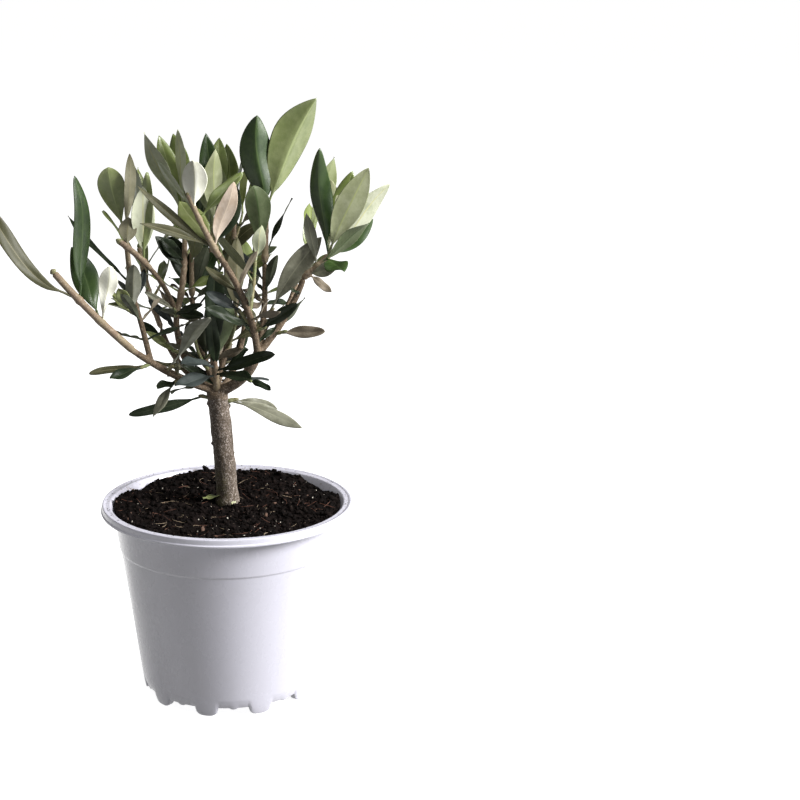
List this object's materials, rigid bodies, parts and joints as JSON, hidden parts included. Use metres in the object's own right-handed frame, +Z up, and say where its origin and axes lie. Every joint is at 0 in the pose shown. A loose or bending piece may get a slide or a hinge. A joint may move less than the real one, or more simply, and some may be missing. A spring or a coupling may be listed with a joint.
{
  "type": "potted olive tree",
  "caption": "Young olive tree with a short bare trunk, spreading boughs and upright narrow leaves, standing in a round white plastic nursery pot filled with dark soil.",
  "frame": {"origin": "bottom centre of the whole plant's box, on the level that the pot stands on", "axes": "+Z up along the trunk; -Y towards the viewer of the picture; +X to the right"},
  "size_m": [0.1946, 0.1364, 0.3061],
  "materials": {
    "pot_plastic": "gloss",
    "potting_soil": "matte",
    "bark": "matte",
    "foliage": "matte"
  },
  "bodies": {
    "root": {"pot": "pot_plastic", "soil": "potting_soil", "trunk": "bark", "bough_left": "bark", "bough_left_riser": "bark", "bough_mid_left": "bark", "bough_mid_stub": "bark", "bough_centre_left": "bark", "bough_centre": "bark", "bough_right": "bark", "bough_leader": "bark", "bough_upright": "bark", "bough_right_outer": "bark", "bough_back_left": "bark", "bough_back": "bark", "bough_back_right": "bark", "bough_back_outer": "bark", "spray_left_tip": "foliage", "spray_left_riser": "foliage", "spur_left_riser": "foliage", "spray_mid_stub": "foliage", "spray_mid_left": "foliage", "spur_mid_left": "foliage", "spur_mid_left_low": "foliage", "spray_centre_left": "foliage", "spur_centre_left": "foliage", "spray_mid_low": "foliage", "spray_centre": "foliage", "spray_centre_side": "foliage", "spray_centre_low": "foliage", "spray_leader": "foliage", "spur_leader": "foliage", "spur_leader_right": "foliage", "spray_leader_side": "foliage", "spray_upright": "foliage", "spur_upright": "foliage", "spray_right_outer": "foliage", "spur_right_outer": "foliage", "spur_left_front": "foliage", "spur_right": "foliage", "spray_front": "foliage", "spur_left_low": "foliage", "spur_left_inner": "foliage", "spur_trunk_left": "foliage", "spur_trunk_right": "foliage", "spray_back_left": "foliage", "spray_back": "foliage", "spray_back_right": "foliage", "spray_back_outer": "foliage", "spray_skirt_back": "foliage"}
  },
  "joints": []
}
